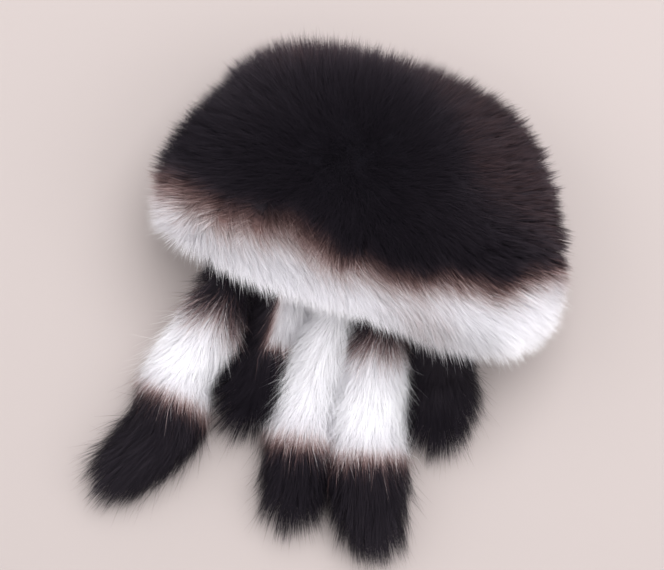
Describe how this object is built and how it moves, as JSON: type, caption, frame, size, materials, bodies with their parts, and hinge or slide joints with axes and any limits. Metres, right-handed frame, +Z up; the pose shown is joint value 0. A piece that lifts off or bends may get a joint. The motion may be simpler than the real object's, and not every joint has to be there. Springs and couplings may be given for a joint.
{
  "type": "fur cossack hat with tails",
  "caption": "Long-haired two-tone fox-fur hat, lying on its front, hollow for a head, with short banded tails fanned out from its back rim.",
  "frame": {"origin": "on the surface that the hat lies on, under the middle of the hat", "axes": "+X along the width of the hat, +Y from the rim to the crown, +Z up from the surface"},
  "size_m": [0.3037, 0.3506, 0.1407],
  "materials": {
    "hide": "matt suede side of tanned fox pelt",
    "dyed_fur": "long glossy guard hair dyed near black",
    "white_fur": "long soft white hair with a brown dye edge",
    "tail_fur": "banded hair: dark root, white middle, brown edge and dark tip"
  },
  "bodies": {
    "root": {"hide_cap": "hide", "crown_fur": "dyed_fur", "band_fur": "white_fur", "tail_1": "tail_fur", "tail_2": "tail_fur", "tail_3": "tail_fur", "tail_4": "tail_fur", "tail_5": "tail_fur"}
  },
  "joints": []
}
